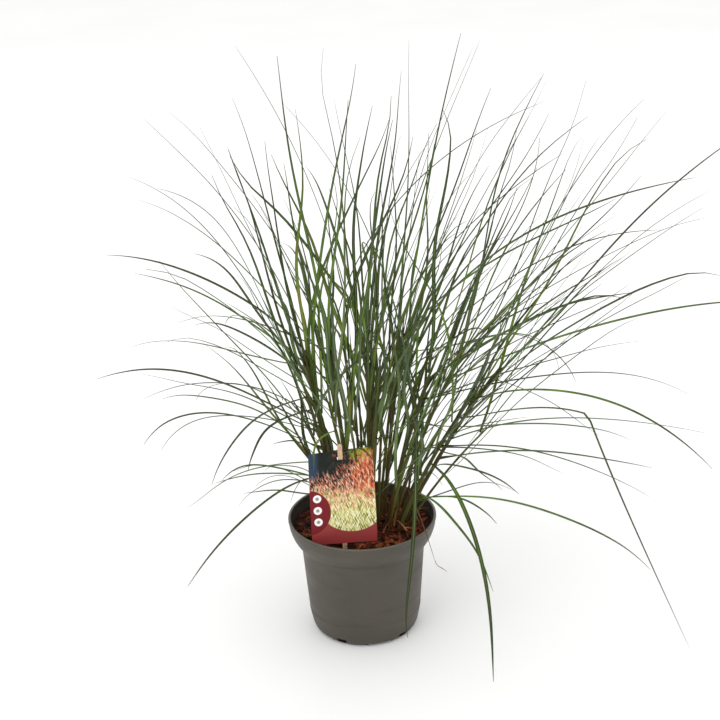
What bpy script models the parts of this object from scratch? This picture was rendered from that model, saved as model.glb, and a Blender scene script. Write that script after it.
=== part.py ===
"""Clump of narrow-leaved ornamental grass in a round plastic nursery pot.

Metres, +Z up.  The origin is the centre of the pot's underside, on the surface that it
stands on, and the plant label faces the front, -Y.  Bearings are degrees about +Z from +X,
so 270 is the front.  A lean is an angle from the upright, and a pitch is one from the level.
"""
import math

import bmesh
import bpy
from mathutils import Matrix, Vector

GAP = 0.0003                  # clearance between pieces that touch
POT_SEGMENTS = 40

# Pot: a turned shell of moulded plastic, 190 mm across its rim.  Profiles are (radius, height).
POT_HEIGHT = 0.157
RIM_RADIUS = 0.095
LIP_INNER_RADIUS = 0.0918
POT_OUTSIDE = [
    (0.0600, 0.0), (0.0645, 0.0020), (0.0680, 0.0070), (0.0700, 0.0145), (0.0725, 0.0280),
    (0.0795, 0.1210), (0.0830, 0.1240), (0.0900, 0.1350), (0.0938, 0.1470), (0.0940, 0.1535),
    (RIM_RADIUS, 0.1541), (RIM_RADIUS, POT_HEIGHT),
]
POT_INSIDE = [
    (0.0590, 0.0022), (0.0630, 0.0040), (0.0660, 0.0085), (0.0682, 0.0150), (0.0707, 0.0282),
    (0.0777, 0.1215), (0.0812, 0.1252), (0.0882, 0.1360), (0.0918, 0.1470),
    (LIP_INNER_RADIUS, POT_HEIGHT),
]
POT_FLOOR = 0.0022

# Five drainage notches under the pot's edge, between its five feet.
NOTCH_COUNT = 5
FIRST_NOTCH_BEARING = 314
NOTCH_WIDTH = 28              # degrees
NOTCH_INNER_RADIUS = 0.052
NOTCH_ROOF = 0.0045
NOTCH_WALL = 0.0018
DRAIN_SLOT = (0.013, 0.0130, 0.0060)   # radial, tangential and upright size
DRAIN_SLOT_RADIUS = 0.0650
DRAIN_SLOT_HEIGHT = 0.0060

# Fill: the potting soil with its roots, and the bark mulch that covers it.
SOIL_TOP = 0.1360
MULCH_TOP = 0.1420
MULCH_WAVE = 0.0012
MULCH_RINGS = (0.030, 0.062)

# Label: a printed card threaded on a flat wooden stick, in front of the clump.
CARD_SIZE = (0.082, 0.0006, 0.122)
CARD_CORNER = 0.0025
CARD_FOOT = Vector((-0.0225, -0.058, 0.1480))
CARD_TURN = 3                 # degrees about the upright
CARD_LEAN = 8                 # degrees back from the upright
CARD_TILT = -0.5              # degrees in the card's own plane
SLIT_SIZE = (0.008, 0.003)
SLIT_BELOW_TOP = 0.011
STAKE_SIZE = (0.006, 0.0018)
STAKE_ABOVE_CARD = 0.003
STAKE_BELOW_CARD = 0.062

# Grass.  Tillers: place on the soil (x, y), bearing, lean at the foot, lean at the top,
# length, foot radius.
TILLER_SIDES = 6
TILLER_RINGS = 6
TILLER_TAPER = 0.62
TILLERS = {
    "tiller_right_outer": (0.050, 0.000, -4, 24, 35, 0.25, 0.0027),
    "tiller_right_front": (0.044, -0.019, -26, 20, 33, 0.24, 0.0024),
    "tiller_right_back": (0.042, 0.026, 26, 19, 32, 0.22, 0.0025),
    "tiller_right_inner": (0.030, -0.006, -12, 11, 20, 0.24, 0.0027),
    "tiller_back_right": (0.028, 0.022, 50, 8, 14, 0.25, 0.0025),
    "tiller_centre": (0.010, 0.003, 60, 1, 3, 0.26, 0.0028),
    "tiller_front": (0.012, -0.020, 290, 6, 14, 0.23, 0.0026),
    "tiller_back": (0.014, 0.043, 85, 13, 24, 0.21, 0.0024),
    "tiller_back_left": (-0.013, 0.024, 130, 6, 11, 0.24, 0.0025),
    "tiller_left_inner": (-0.010, -0.002, 190, 4, 7, 0.25, 0.0027),
    "tiller_left_front": (-0.024, -0.016, 218, 9, 17, 0.22, 0.0024),
    "tiller_left_outer": (-0.030, 0.006, 178, 6, 10, 0.24, 0.0026),
    "tiller_left_back": (-0.026, 0.041, 132, 11, 24, 0.20, 0.0023),
    "tiller_front_left": (-0.006, -0.027, 205, 6, 13, 0.19, 0.0023),
}

# Leaf blades: tiller, place along it (0 foot, 1 top), lead (0 leaves along the tiller, 1 heads
# straight for the tip), tip x, y, z, pitch at the tip, width, twist from foot to tip.
BLADE_RINGS = 13
BLADE_THICKNESS = 0.0008
BLADE_TIP_WIDTH = 0.0009
BLADE_TIP_THICKNESS = 0.0005
BLADE_FOLD = 0.36             # rise of the edges over the keel, as a part of the half width
BLADE_FOOT_PULL = 0.36        # length of the curve's first handle, as a part of the span
BLADE_TIP_PULL = 0.36
BLADES = {
    "blade_crown_1": ("tiller_centre", 0.86, 0.6, -0.128, 0.030, 0.758, 58, 0.0046, 30),
    "blade_crown_2": ("tiller_left_inner", 0.98, 0.3, -0.085, 0.150, 0.720, 78, 0.0040, -25),
    "blade_crown_3": ("tiller_left_outer", 0.80, 0.3, 0.013, 0.200, 0.695, 58, 0.0040, 40),
    "blade_crown_4": ("tiller_back_right", 0.86, 0.7, 0.072, 0.020, 0.755, 90, 0.0048, 50),
    "blade_crown_5": ("tiller_centre", 0.97, 0.5, 0.068, 0.250, 0.672, 78, 0.0040, -35),
    "blade_crown_6": ("tiller_left_outer", 0.97, 0.1, -0.137, 0.100, 0.680, 66, 0.0036, 20),
    "blade_crown_7": ("tiller_left_back", 0.96, 0.5, -0.155, 0.150, 0.605, 66, 0.0040, -30),
    "blade_crown_8": ("tiller_left_inner", 0.85, 0.7, -0.230, -0.050, 0.690, 42, 0.0042, 25),
    "blade_crown_9": ("tiller_right_inner", 0.74, 0.7, -0.069, -0.165, 0.732, 40, 0.0042, -40),
    "blade_crown_10": ("tiller_left_outer", 0.90, 0.1, 0.055, 0.200, 0.620, 40, 0.0036, 30),
    "blade_crown_11": ("tiller_centre", 0.70, 0.0, 0.048, -0.120, 0.698, 52, 0.0042, -20),
    "blade_upper_right_1": ("tiller_back_right", 0.97, 0.4, 0.139, 0.100, 0.750, 72, 0.0040, 25),
    "blade_upper_right_2": ("tiller_back", 0.95, 0.4, 0.171, 0.200, 0.720, 60, 0.0040, -30),
    "blade_upper_right_3": ("tiller_back_right", 0.74, 0.5, 0.212, -0.100, 0.735, 46, 0.0046, 35),
    "blade_upper_right_4": ("tiller_left_inner", 0.84, 0.0, 0.222, -0.060, 0.702, 22, 0.0042, -25),
    "blade_upper_right_5": ("tiller_back_right", 0.92, 0.5, 0.430, 0.100, 0.560, 6, 0.0044, 30),
    "blade_upper_right_6": ("tiller_right_back", 0.96, 0.9, 0.371, 0.000, 0.675, 56, 0.0044, -20),
    "blade_upper_right_7": ("tiller_right_outer", 0.97, 0.8, 0.462, -0.030, 0.655, 34, 0.0050, 20),
    "blade_right_1": ("tiller_right_back", 0.90, 0.8, 0.510, -0.050, 0.450, 4, 0.0066, 10),
    "blade_right_2": ("tiller_right_back", 0.80, 0.9, 0.390, 0.200, 0.302, -6, 0.0042, -25),
    "blade_right_3": ("tiller_right_back", 1.00, 0.6, 0.378, 0.200, 0.373, -5, 0.0042, 25),
    "blade_right_4": ("tiller_right_inner", 0.80, 0.8, 0.405, -0.050, 0.330, -30, 0.0050, -20),
    "blade_right_5": ("tiller_right_front", 0.95, 0.4, 0.412, -0.150, 0.280, -45, 0.0048, 20),
    "blade_right_6": ("tiller_right_front", 0.82, 0.4, 0.374, -0.250, 0.096, -62, 0.0050, -15),
    "blade_right_7": ("tiller_right_outer", 0.44, 0.8, 0.390, 0.100, 0.160, -20, 0.0042, 20),
    "blade_right_8": ("tiller_right_front", 0.62, 0.7, 0.350, -0.100, 0.220, -30, 0.0042, -20),
    "blade_right_9": ("tiller_right_front", 0.26, 0.7, 0.345, -0.150, 0.150, -38, 0.0040, 20),
    "blade_front_1": ("tiller_right_front", 0.50, 0.6, 0.141, -0.300, 0.098, -90, 0.0050, 15),
    "blade_front_2": ("tiller_right_front", 0.30, 0.7, 0.149, -0.200, 0.157, -52, 0.0042, -15),
    "blade_front_3": ("tiller_right_inner", 0.68, 0.9, 0.049, -0.125, 0.045, -90, 0.0052, 10),
    "blade_left_1": ("tiller_left_outer", 0.60, 0.8, -0.323, 0.000, 0.355, -25, 0.0048, -20),
    "blade_left_2": ("tiller_left_front", 0.85, 0.5, -0.254, -0.100, 0.370, -25, 0.0044, 20),
    "blade_left_3": ("tiller_left_front", 0.62, 0.7, -0.250, -0.150, 0.340, -42, 0.0042, -20),
    "blade_left_4": ("tiller_left_front", 0.97, 0.7, -0.169, -0.200, 0.304, -62, 0.0046, 20),
    "blade_left_5": ("tiller_left_front", 0.42, 0.6, -0.216, -0.115, 0.126, -50, 0.0042, -20),
    "blade_left_6": ("tiller_left_outer", 0.95, 1.0, -0.297, 0.150, 0.340, -25, 0.0042, 25),
    "blade_upper_left_1": ("tiller_left_inner", 0.75, 0.3, -0.303, 0.050, 0.502, 0, 0.0048, -25),
    "blade_upper_left_2": ("tiller_back_left", 0.92, 0.8, -0.268, 0.100, 0.560, 20, 0.0042, 20),
    "blade_back_1": ("tiller_back", 0.80, 0.6, -0.060, 0.360, 0.520, 10, 0.0046, 20),
    "blade_back_2": ("tiller_back", 0.64, 0.6, 0.160, 0.340, 0.420, -20, 0.0044, -20),
    "blade_back_3": ("tiller_left_back", 0.72, 0.6, -0.190, 0.330, 0.300, -40, 0.0042, 20),
}
# Blades bent over at a crease: crease x, y, z, pitch before it and pitch after it.
CREASES = {"blade_right_6": (0.266, -0.130, 0.345, -4, -66)}


def clear_scene():
    for scene_object in list(bpy.data.objects):
        bpy.data.objects.remove(scene_object, do_unlink=True)


def material(name, colour, roughness, metallic=0.0):
    made = bpy.data.materials.new(name)
    made.use_nodes = True
    shader = made.node_tree.nodes["Principled BSDF"]
    shader.inputs["Base Color"].default_value = (*colour, 1.0)
    shader.inputs["Roughness"].default_value = roughness
    shader.inputs["Metallic"].default_value = metallic
    return made


def object_from(name, bm, look, smooth_angle=None):
    """Close the bmesh into a mesh object with outward faces and one material."""
    bmesh.ops.recalc_face_normals(bm, faces=bm.faces)
    mesh = bpy.data.meshes.new(name)
    bm.to_mesh(mesh)
    bm.free()
    if smooth_angle is not None:
        mesh.shade_smooth()
        mesh.set_sharp_from_angle(angle=math.radians(smooth_angle))
    made = bpy.data.objects.new(name, mesh)
    if look:
        mesh.materials.append(look)
    bpy.context.scene.collection.objects.link(made)
    return made


def cut(target, cutter, operation="DIFFERENCE"):
    """Boolean the target by a guide object that isn't a piece of its own."""
    cutter.hide_render = True
    cutter.display_type = "WIRE"
    step = target.modifiers.new(cutter.name, "BOOLEAN")
    step.operation = operation
    step.solver = "EXACT"
    step.object = cutter


def direction(bearing, pitch=0.0):
    level = math.cos(math.radians(pitch))
    turn = math.radians(bearing)
    return Vector((level * math.cos(turn), level * math.sin(turn), math.sin(math.radians(pitch))))


def turned_into(bm, profile, segments):
    """Spin a (radius, height) profile that starts and ends on the axis."""
    verts = [bm.verts.new((radius, 0.0, height)) for radius, height in profile]
    edges = [bm.edges.new(pair) for pair in zip(verts, verts[1:])]
    bmesh.ops.spin(bm, geom=verts + edges, cent=(0, 0, 0), axis=(0, 0, 1),
                   angle=math.tau, steps=segments, use_merge=True)
    bmesh.ops.remove_doubles(bm, verts=bm.verts, dist=0.00001)


def sector_into(bm, profile, bearing, width):
    """Sweep a closed (radius, height) outline through a part turn, with flat ends."""
    start = Matrix.Rotation(math.radians(bearing - width / 2), 3, "Z")
    outline = [bm.verts.new(start @ Vector((radius, 0.0, height))) for radius, height in profile]
    face = bm.faces.new(outline)
    bmesh.ops.spin(bm, geom=[face], cent=(0, 0, 0), axis=(0, 0, 1),
                   angle=math.radians(width), steps=4)


def box_into(bm, size, matrix):
    bmesh.ops.create_cube(bm, size=1.0, matrix=matrix @ Matrix.Diagonal((*size, 1.0)))


def loft_into(bm, rings):
    """Join rings of points, in order along a length, into a closed solid with flat ends."""
    loops = [[bm.verts.new(point) for point in ring] for ring in rings]
    sides = len(loops[0])
    for lower, upper in zip(loops, loops[1:]):
        for side in range(sides):
            following = (side + 1) % sides
            bm.faces.new((lower[side], lower[following], upper[following], upper[side]))
    bm.faces.new(reversed(loops[0]))
    bm.faces.new(loops[-1])


def inner_radius(height):
    """Radius of the pot's inside at a height."""
    for (low_radius, low), (high_radius, high) in zip(POT_INSIDE, POT_INSIDE[1:]):
        if low <= height <= high:
            return low_radius + (high_radius - low_radius) * (height - low) / (high - low)
    return POT_INSIDE[0][0]


def notch_bearings():
    return [FIRST_NOTCH_BEARING + 360 / NOTCH_COUNT * index for index in range(NOTCH_COUNT)]


def notch_housing(clearance):
    """Solid inside the pot that covers the five notches, grown by a clearance."""
    bm = bmesh.new()
    inner = NOTCH_INNER_RADIUS - NOTCH_WALL - clearance
    roof = NOTCH_ROOF + NOTCH_WALL + clearance
    profile = [(inner, 0.0012), (0.0600, 0.0012), (0.0668, roof), (inner, roof)]
    side = math.degrees((NOTCH_WALL + clearance) / NOTCH_INNER_RADIUS)
    for bearing in notch_bearings():
        sector_into(bm, profile, bearing, NOTCH_WIDTH + 2 * side)
    return object_from(f"notch_housing_{round(clearance * 10000)}", bm, None)


def make_pot():
    bm = bmesh.new()
    inside = [(0.0, POT_FLOOR)] + POT_INSIDE
    turned_into(bm, [(0.0, 0.0)] + POT_OUTSIDE + inside[::-1], POT_SEGMENTS)
    pot = object_from("pot", bm, material("taupe_plastic", (0.105, 0.094, 0.076), 0.5), 25)
    cut(pot, notch_housing(0.0), "UNION")

    slots = bmesh.new()
    for bearing in notch_bearings():
        place = direction(bearing) * DRAIN_SLOT_RADIUS + Vector((0, 0, DRAIN_SLOT_HEIGHT))
        turn = Matrix.Rotation(math.radians(bearing), 4, "Z")
        box_into(slots, DRAIN_SLOT, Matrix.Translation(place) @ turn)
    cut(pot, object_from("drain_slots", slots, None))

    notches = bmesh.new()
    notch_profile = [(NOTCH_INNER_RADIUS, -0.002), (0.085, -0.002), (0.085, NOTCH_ROOF),
                     (NOTCH_INNER_RADIUS, NOTCH_ROOF)]
    for bearing in notch_bearings():
        sector_into(notches, notch_profile, bearing, NOTCH_WIDTH)
    cut(pot, object_from("notches", notches, None))


def card_frame():
    """Axes of the label card, with the origin at the middle of its lower edge."""
    turn = Matrix.Rotation(math.radians(CARD_TURN), 4, "Z")
    lean = Matrix.Rotation(math.radians(-CARD_LEAN), 4, "X")
    tilt = Matrix.Rotation(math.radians(CARD_TILT), 4, "Y")
    return Matrix.Translation(CARD_FOOT) @ turn @ lean @ tilt


def stake_into(bm, clearance):
    """The label's flat stick, which runs behind the card and down into the soil."""
    width, thickness = (side + 2 * clearance for side in STAKE_SIZE)
    top = CARD_SIZE[2] + STAKE_ABOVE_CARD
    bottom = -STAKE_BELOW_CARD - clearance
    behind = CARD_SIZE[1] / 2 + GAP + STAKE_SIZE[1] / 2
    middle = Matrix.Translation((0.0, behind, (top + bottom) / 2))
    box_into(bm, (width, thickness, top - bottom), card_frame() @ middle)


def make_label():
    bm = bmesh.new()
    box_into(bm, CARD_SIZE, Matrix.Translation((0, 0, CARD_SIZE[2] / 2)))
    corners = [edge for edge in bm.edges if abs((edge.verts[0].co - edge.verts[1].co).y) > 0.0001]
    bmesh.ops.bevel(bm, geom=corners, offset=CARD_CORNER, segments=3, affect="EDGES",
                    profile=0.5)
    card = object_from("label_card", bm, material("printed_card", (0.30, 0.08, 0.04), 0.4))
    card.matrix_world = card_frame()

    slit = bmesh.new()
    place = Matrix.Translation((0, 0, CARD_SIZE[2] - SLIT_BELOW_TOP))
    box_into(slit, (SLIT_SIZE[0], 0.01, SLIT_SIZE[1]), card_frame() @ place)
    cut(card, object_from("label_slit", slit, None))

    stick = bmesh.new()
    stake_into(stick, 0.0)
    object_from("label_stake", stick, material("pale_wood", (0.62, 0.42, 0.28), 0.65))


def tiller_point(spec, along):
    """Centre and direction of a tiller at a part of its length, on an arc in one upright plane."""
    x, y, bearing, foot_lean, top_lean, length, _ = spec
    first = math.radians(foot_lean)
    bend = math.radians(top_lean - foot_lean)
    lean = first + bend * along
    reach = length * (math.cos(first) - math.cos(lean)) / bend
    rise = length * (math.sin(lean) - math.sin(first)) / bend
    outward = direction(bearing)
    centre = Vector((x, y, SOIL_TOP + GAP)) + outward * reach + Vector((0, 0, rise))
    return centre, direction(bearing, 90 - math.degrees(lean))


def tiller_radius(spec, along):
    return spec[6] * (1.0 + (TILLER_TAPER - 1.0) * along)


def ring_round(centre, axis, radius, level):
    """Points of a ring about an axis; a level ring lies flat, for a stem's foot."""
    across = axis.cross(Vector((0, 1, 0))).normalized()
    other = Vector((0, 0, 1)).cross(across) if level else axis.cross(across)
    turns = [math.tau * side / TILLER_SIDES for side in range(TILLER_SIDES)]
    flat = Vector((across.x, across.y, 0.0)) if level else across
    return [centre + (flat * math.cos(turn) + other * math.sin(turn)) * radius for turn in turns]


def tiller_into(bm, spec, clearance, last):
    """Loft a tiller from its foot on the soil to a part of its length."""
    rings = []
    for index in range(TILLER_RINGS):
        along = last * index / (TILLER_RINGS - 1)
        centre, axis = tiller_point(spec, along)
        radius = tiller_radius(spec, along) + clearance
        rings.append(ring_round(centre, axis, radius, index == 0))
    loft_into(bm, rings)


def make_fill():
    """Potting soil and mulch, with the openings that the stick and the tillers fill."""
    soil_bottom = POT_FLOOR + GAP
    soil_profile = [(0.0, soil_bottom)]
    for radius, height in POT_INSIDE:
        if height < SOIL_TOP:
            soil_profile.append((radius - GAP, height + GAP))
    soil_profile.append((inner_radius(SOIL_TOP) - GAP, SOIL_TOP))
    bm = bmesh.new()
    turned_into(bm, soil_profile + [(0.0, SOIL_TOP)], POT_SEGMENTS)
    soil = object_from("root_ball", bm, material("potting_soil", (0.035, 0.022, 0.014), 0.95))
    cut(soil, notch_housing(GAP))

    bottom = SOIL_TOP + GAP
    mulch_profile = [(0.0, bottom), (inner_radius(bottom) - 2 * GAP, bottom),
                     (inner_radius(MULCH_TOP) - 2 * GAP, MULCH_TOP)]
    mulch_profile += [(radius, MULCH_TOP) for radius in reversed(MULCH_RINGS)]
    bm = bmesh.new()
    turned_into(bm, mulch_profile + [(0.0, MULCH_TOP)], POT_SEGMENTS)
    for vert in bm.verts:
        if vert.co.z > MULCH_TOP - GAP and vert.co.xy.length < MULCH_RINGS[1] + GAP:
            vert.co.z += MULCH_WAVE * math.sin(vert.co.x * 120) * math.cos(vert.co.y * 95 + 1)
    mulch = object_from("bark_mulch", bm, material("bark", (0.16, 0.055, 0.025), 0.9))

    stick = bmesh.new()
    stake_into(stick, GAP)
    stick_hole = object_from("stick_hole", stick, None)
    cut(soil, stick_hole)
    cut(mulch, stick_hole)

    feet = bmesh.new()
    for spec in TILLERS.values():
        tiller_into(feet, spec, GAP, 0.1)
    bmesh.ops.translate(feet, verts=feet.verts, vec=(0, 0, -GAP))
    cut(mulch, object_from("tiller_feet", feet, None))


def blade_foot(spec):
    """Where a blade leaves the side of its tiller, and its direction there."""
    tiller, along, lead, tip_x, tip_y, tip_z, _, width, _ = spec
    stem = TILLERS[tiller]
    centre, axis = tiller_point(stem, along)
    away = Vector((tip_x, tip_y, tip_z)) - centre
    side = (away - axis * away.dot(axis)).normalized()
    stand_off = tiller_radius(stem, along) + GAP + BLADE_FOLD * width / 2 + BLADE_THICKNESS
    return centre + side * stand_off, axis.slerp(away.normalized(), lead)


def handles(start, leaving, end, arriving):
    """Control points of a curve between two points, with a direction at each."""
    span = (end - start).length
    return (start, start + leaving * span * BLADE_FOOT_PULL,
            end - arriving * span * BLADE_TIP_PULL, end)


def blade_curves(name):
    """Control points of a blade's spine: one curve, or two that meet at a crease."""
    spec = BLADES[name]
    foot, leaving = blade_foot(spec)
    tip = Vector(spec[3:6])
    bearing = math.degrees(math.atan2(tip.y - foot.y, tip.x - foot.x))
    arriving = direction(bearing, spec[6])
    if name not in CREASES:
        return [handles(foot, leaving, tip, arriving)]
    *crease, pitch_before, pitch_after = CREASES[name]
    crease = Vector(crease)
    return [handles(foot, leaving, crease, direction(bearing, pitch_before)),
            handles(crease, direction(bearing, pitch_after), tip, arriving)]


def spine_point(curves, part):
    """Point at a part of the way along a blade's curves."""
    place = part * len(curves)
    index = min(int(place), len(curves) - 1)
    part = place - index
    rest = 1.0 - part
    weights = (rest ** 3, 3 * part * rest ** 2, 3 * part ** 2 * rest, part ** 3)
    return sum((point * weight for point, weight in zip(curves[index], weights)), Vector())


def spine_direction(curves, part):
    before = spine_point(curves, max(part - 0.01, 0.0))
    after = spine_point(curves, min(part + 0.01, 1.0))
    return (after - before).normalized()


def blade_width(width, part):
    """Width along a blade: narrow at the foot, full at a third, then a long taper."""
    foot = min(1.0, 0.65 + 1.2 * part)
    return BLADE_TIP_WIDTH + (width - BLADE_TIP_WIDTH) * foot * (1.0 - part ** 2.4)


def blade_rings(name):
    """Folded sections of a blade: left edge, keel, right edge and groove."""
    width, twist = BLADES[name][7:]
    curves = blade_curves(name)
    level = Vector((0, 0, 1)).cross(curves[-1][3] - curves[0][0]).normalized()
    rings = []
    for index in range(BLADE_RINGS):
        part = index / (BLADE_RINGS - 1)
        spine = spine_point(curves, part)
        along = spine_direction(curves, part)
        across = Matrix.Rotation(math.radians(twist * part), 3, along) @ level
        upper = along.cross(across).normalized()
        half = blade_width(width, part) / 2
        thick = BLADE_TIP_THICKNESS + (BLADE_THICKNESS - BLADE_TIP_THICKNESS) * (1.0 - part)
        edge_rise = upper * BLADE_FOLD * half
        rings.append((spine - across * half + edge_rise, spine - upper * thick / 2,
                      spine + across * half + edge_rise, spine + upper * thick / 2))
    return rings


def make_grass():
    stem_look = material("tiller_sheath", (0.10, 0.105, 0.03), 0.55)
    for name, spec in TILLERS.items():
        bm = bmesh.new()
        tiller_into(bm, spec, 0.0, 1.0)
        object_from(name, bm, stem_look, 50)
    blade_look = material("leaf_blade", (0.065, 0.12, 0.025), 0.45)
    for name in BLADES:
        bm = bmesh.new()
        loft_into(bm, blade_rings(name))
        object_from(name, bm, blade_look)


def main():
    clear_scene()
    make_pot()
    make_fill()
    make_label()
    make_grass()


main()
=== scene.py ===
"""Looks of a potted clump of narrow-leaved ornamental grass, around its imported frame.

Metres, +Z up.  The pot stands on z = 0 at the origin and the plant label faces the front, -Y.
Bearings are degrees about +Z from +X, a lean is an angle from the upright and a pitch is one
from the level.  Every leaf is a copy of one modelled strip, carried along its own curve.
"""
import math
import random

import bmesh
import bpy
import numpy as np
from mathutils import Matrix, Vector, noise


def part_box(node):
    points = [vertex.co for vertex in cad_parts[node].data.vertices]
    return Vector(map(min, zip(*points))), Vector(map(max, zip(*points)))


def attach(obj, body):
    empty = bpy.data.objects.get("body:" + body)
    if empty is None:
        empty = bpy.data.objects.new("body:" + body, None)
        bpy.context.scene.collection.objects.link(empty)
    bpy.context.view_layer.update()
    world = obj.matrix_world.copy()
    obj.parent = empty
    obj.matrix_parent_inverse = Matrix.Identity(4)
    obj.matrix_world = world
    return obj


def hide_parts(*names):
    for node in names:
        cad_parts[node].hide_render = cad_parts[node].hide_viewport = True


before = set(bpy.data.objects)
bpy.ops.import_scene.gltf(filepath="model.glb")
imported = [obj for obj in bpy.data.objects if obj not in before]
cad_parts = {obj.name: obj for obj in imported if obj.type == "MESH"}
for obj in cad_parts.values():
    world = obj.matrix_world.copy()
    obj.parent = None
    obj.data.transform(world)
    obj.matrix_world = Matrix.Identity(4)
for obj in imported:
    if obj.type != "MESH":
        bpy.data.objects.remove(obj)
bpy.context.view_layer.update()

GAP = 0.0003                  # clearance between a leaf's foot and its stem

# Pot, as (radius, height), with the narrow moulding ring above its rounded foot.
POT_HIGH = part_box("pot")[1]
POT_HEIGHT = POT_HIGH.z
RIM_RADIUS = POT_HIGH.x
POT_SEGMENTS = 128
POT_OUTSIDE = [
    (0.0600, 0.0), (0.0630, 0.0008), (0.0655, 0.0028), (0.0674, 0.0056), (0.0688, 0.0090),
    (0.0700, 0.0145), (0.0714, 0.0215), (0.0725, 0.0280), (0.0727, 0.0300), (0.0723, 0.0306),
    (0.0728, 0.0340), (0.0760, 0.0750), (0.0792, 0.1195), (0.0797, 0.1212), (0.0806, 0.1224),
    (0.0830, 0.1240), (0.0868, 0.1290), (0.0900, 0.1350), (0.0922, 0.1410), (0.0938, 0.1470),
    (0.0940, 0.1530), (0.0943, 0.1538), (RIM_RADIUS, 0.1543), (RIM_RADIUS, POT_HEIGHT - 0.0006),
    (RIM_RADIUS - 0.0006, POT_HEIGHT),
]
POT_INSIDE = [
    (0.0924, POT_HEIGHT), (0.0918, POT_HEIGHT - 0.0006), (0.0918, 0.1470), (0.0882, 0.1360),
    (0.0812, 0.1252), (0.0777, 0.1215), (0.0707, 0.0282), (0.0682, 0.0150), (0.0660, 0.0085),
    (0.0630, 0.0040), (0.0590, 0.0022),
]
NOTCH_BEARINGS = [314 + 72 * index for index in range(5)]
NOTCH_WIDTH = 28              # degrees
# Inner and outer radius, low and high of a notch in the foot, and of the housing over it.
NOTCH = (0.052, 0.085, -0.002, 0.0045)
HOUSING = (0.0502, 0.0664, 0.0012, 0.0063)
HOUSING_LOW_RADIUS = 0.0620
DRAIN_SIZE, DRAIN_RADIUS = (0.013, 0.013, 0.006), 0.065
MULCH_LEVEL = 0.1420
MULCH_RADIUS = 0.0880
SOIL_TOP = 0.1360
BED_RINGS, BED_RING_WIDTH = 26, 0.0032
SHRED_COUNT = 620

# Label card and stick.
CARD_SIZE = (0.082, 0.0006, 0.122)
CARD_FOOT = Vector((-0.0225, -0.058, 0.1480))
CARD_TURN = 3
CARD_LEAN = 8
CARD_TILT = -0.5
CARD_TWIST = 11               # degrees more turn at the card's top than at its foot
CARD_CUTS = 16
SLIT_BELOW_TOP = 0.011
SLIT_SIZE = (0.008, 0.010, 0.003)
STICK_SIZE = (0.006, 0.0018)

# Stems: place on the soil (x, y), bearing, lean at the foot, lean at the top, length, foot
# radius.  They repeat the frame's own.
STEMS = {
    "tiller_right_outer": (0.050, 0.000, -4, 24, 35, 0.25, 0.0027),
    "tiller_right_front": (0.044, -0.019, -26, 20, 33, 0.24, 0.0024),
    "tiller_right_back": (0.042, 0.026, 26, 19, 32, 0.22, 0.0025),
    "tiller_right_inner": (0.030, -0.006, -12, 11, 20, 0.24, 0.0027),
    "tiller_back_right": (0.028, 0.022, 50, 8, 14, 0.25, 0.0025),
    "tiller_centre": (0.010, 0.003, 60, 1, 3, 0.26, 0.0028),
    "tiller_front": (0.012, -0.020, 290, 6, 14, 0.23, 0.0026),
    "tiller_back": (0.014, 0.043, 85, 13, 24, 0.21, 0.0024),
    "tiller_back_left": (-0.013, 0.024, 130, 6, 11, 0.24, 0.0025),
    "tiller_left_inner": (-0.010, -0.002, 190, 4, 7, 0.25, 0.0027),
    "tiller_left_front": (-0.024, -0.016, 218, 9, 17, 0.22, 0.0024),
    "tiller_left_outer": (-0.030, 0.006, 178, 6, 10, 0.24, 0.0026),
    "tiller_left_back": (-0.026, 0.041, 132, 11, 24, 0.20, 0.0023),
    "tiller_front_left": (-0.006, -0.027, 205, 6, 13, 0.19, 0.0023),
}
STEM_TAPER = 0.62             # share of the foot's radius that is left at the top
STEM_ROWS = 40
STEM_SIDES = 12
# Younger shoots between them, as the stems.
SHOOTS = {f"shoot_{number}": spec for number, spec in enumerate([
    (0.046, 0.008, 8, 20, 30, 0.20, 0.0020),
    (0.038, -0.010, -20, 14, 24, 0.22, 0.0021),
    (0.036, 0.014, 18, 10, 18, 0.23, 0.0020),
    (0.054, -0.010, -12, 28, 42, 0.18, 0.0018),
    (0.032, -0.026, -48, 12, 24, 0.17, 0.0018),
    (0.020, -0.012, -60, 4, 9, 0.22, 0.0021),
    (0.022, 0.010, 30, 6, 10, 0.24, 0.0021),
    (0.000, 0.014, 110, 3, 6, 0.23, 0.0020),
    (-0.020, 0.012, 165, 8, 15, 0.22, 0.0020),
    (-0.018, -0.010, 200, 12, 24, 0.20, 0.0019),
    (-0.036, 0.020, 160, 16, 30, 0.18, 0.0018),
    (0.004, 0.033, 95, 9, 18, 0.21, 0.0019),
    (0.028, 0.040, 60, 16, 28, 0.19, 0.0018),
    (-0.012, 0.043, 110, 14, 28, 0.17, 0.0018),
    (0.003, -0.018, 250, 8, 18, 0.19, 0.0018),
], 1)}
GROWN = {**STEMS, **SHOOTS}


def named(groups):
    """Name each leaf of a table for its group and its number there, and put it in metres."""
    made = {}
    for group, leaves in groups.items():
        for number, (stem, along, lead, x, y, z, pitch, width, twist) in enumerate(leaves, 1):
            made[f"{group}_{number}"] = ("tiller_" + stem, along, lead, x / 1000, y / 1000,
                                         z / 1000, pitch, width / 10000, twist)
    return made


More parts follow.
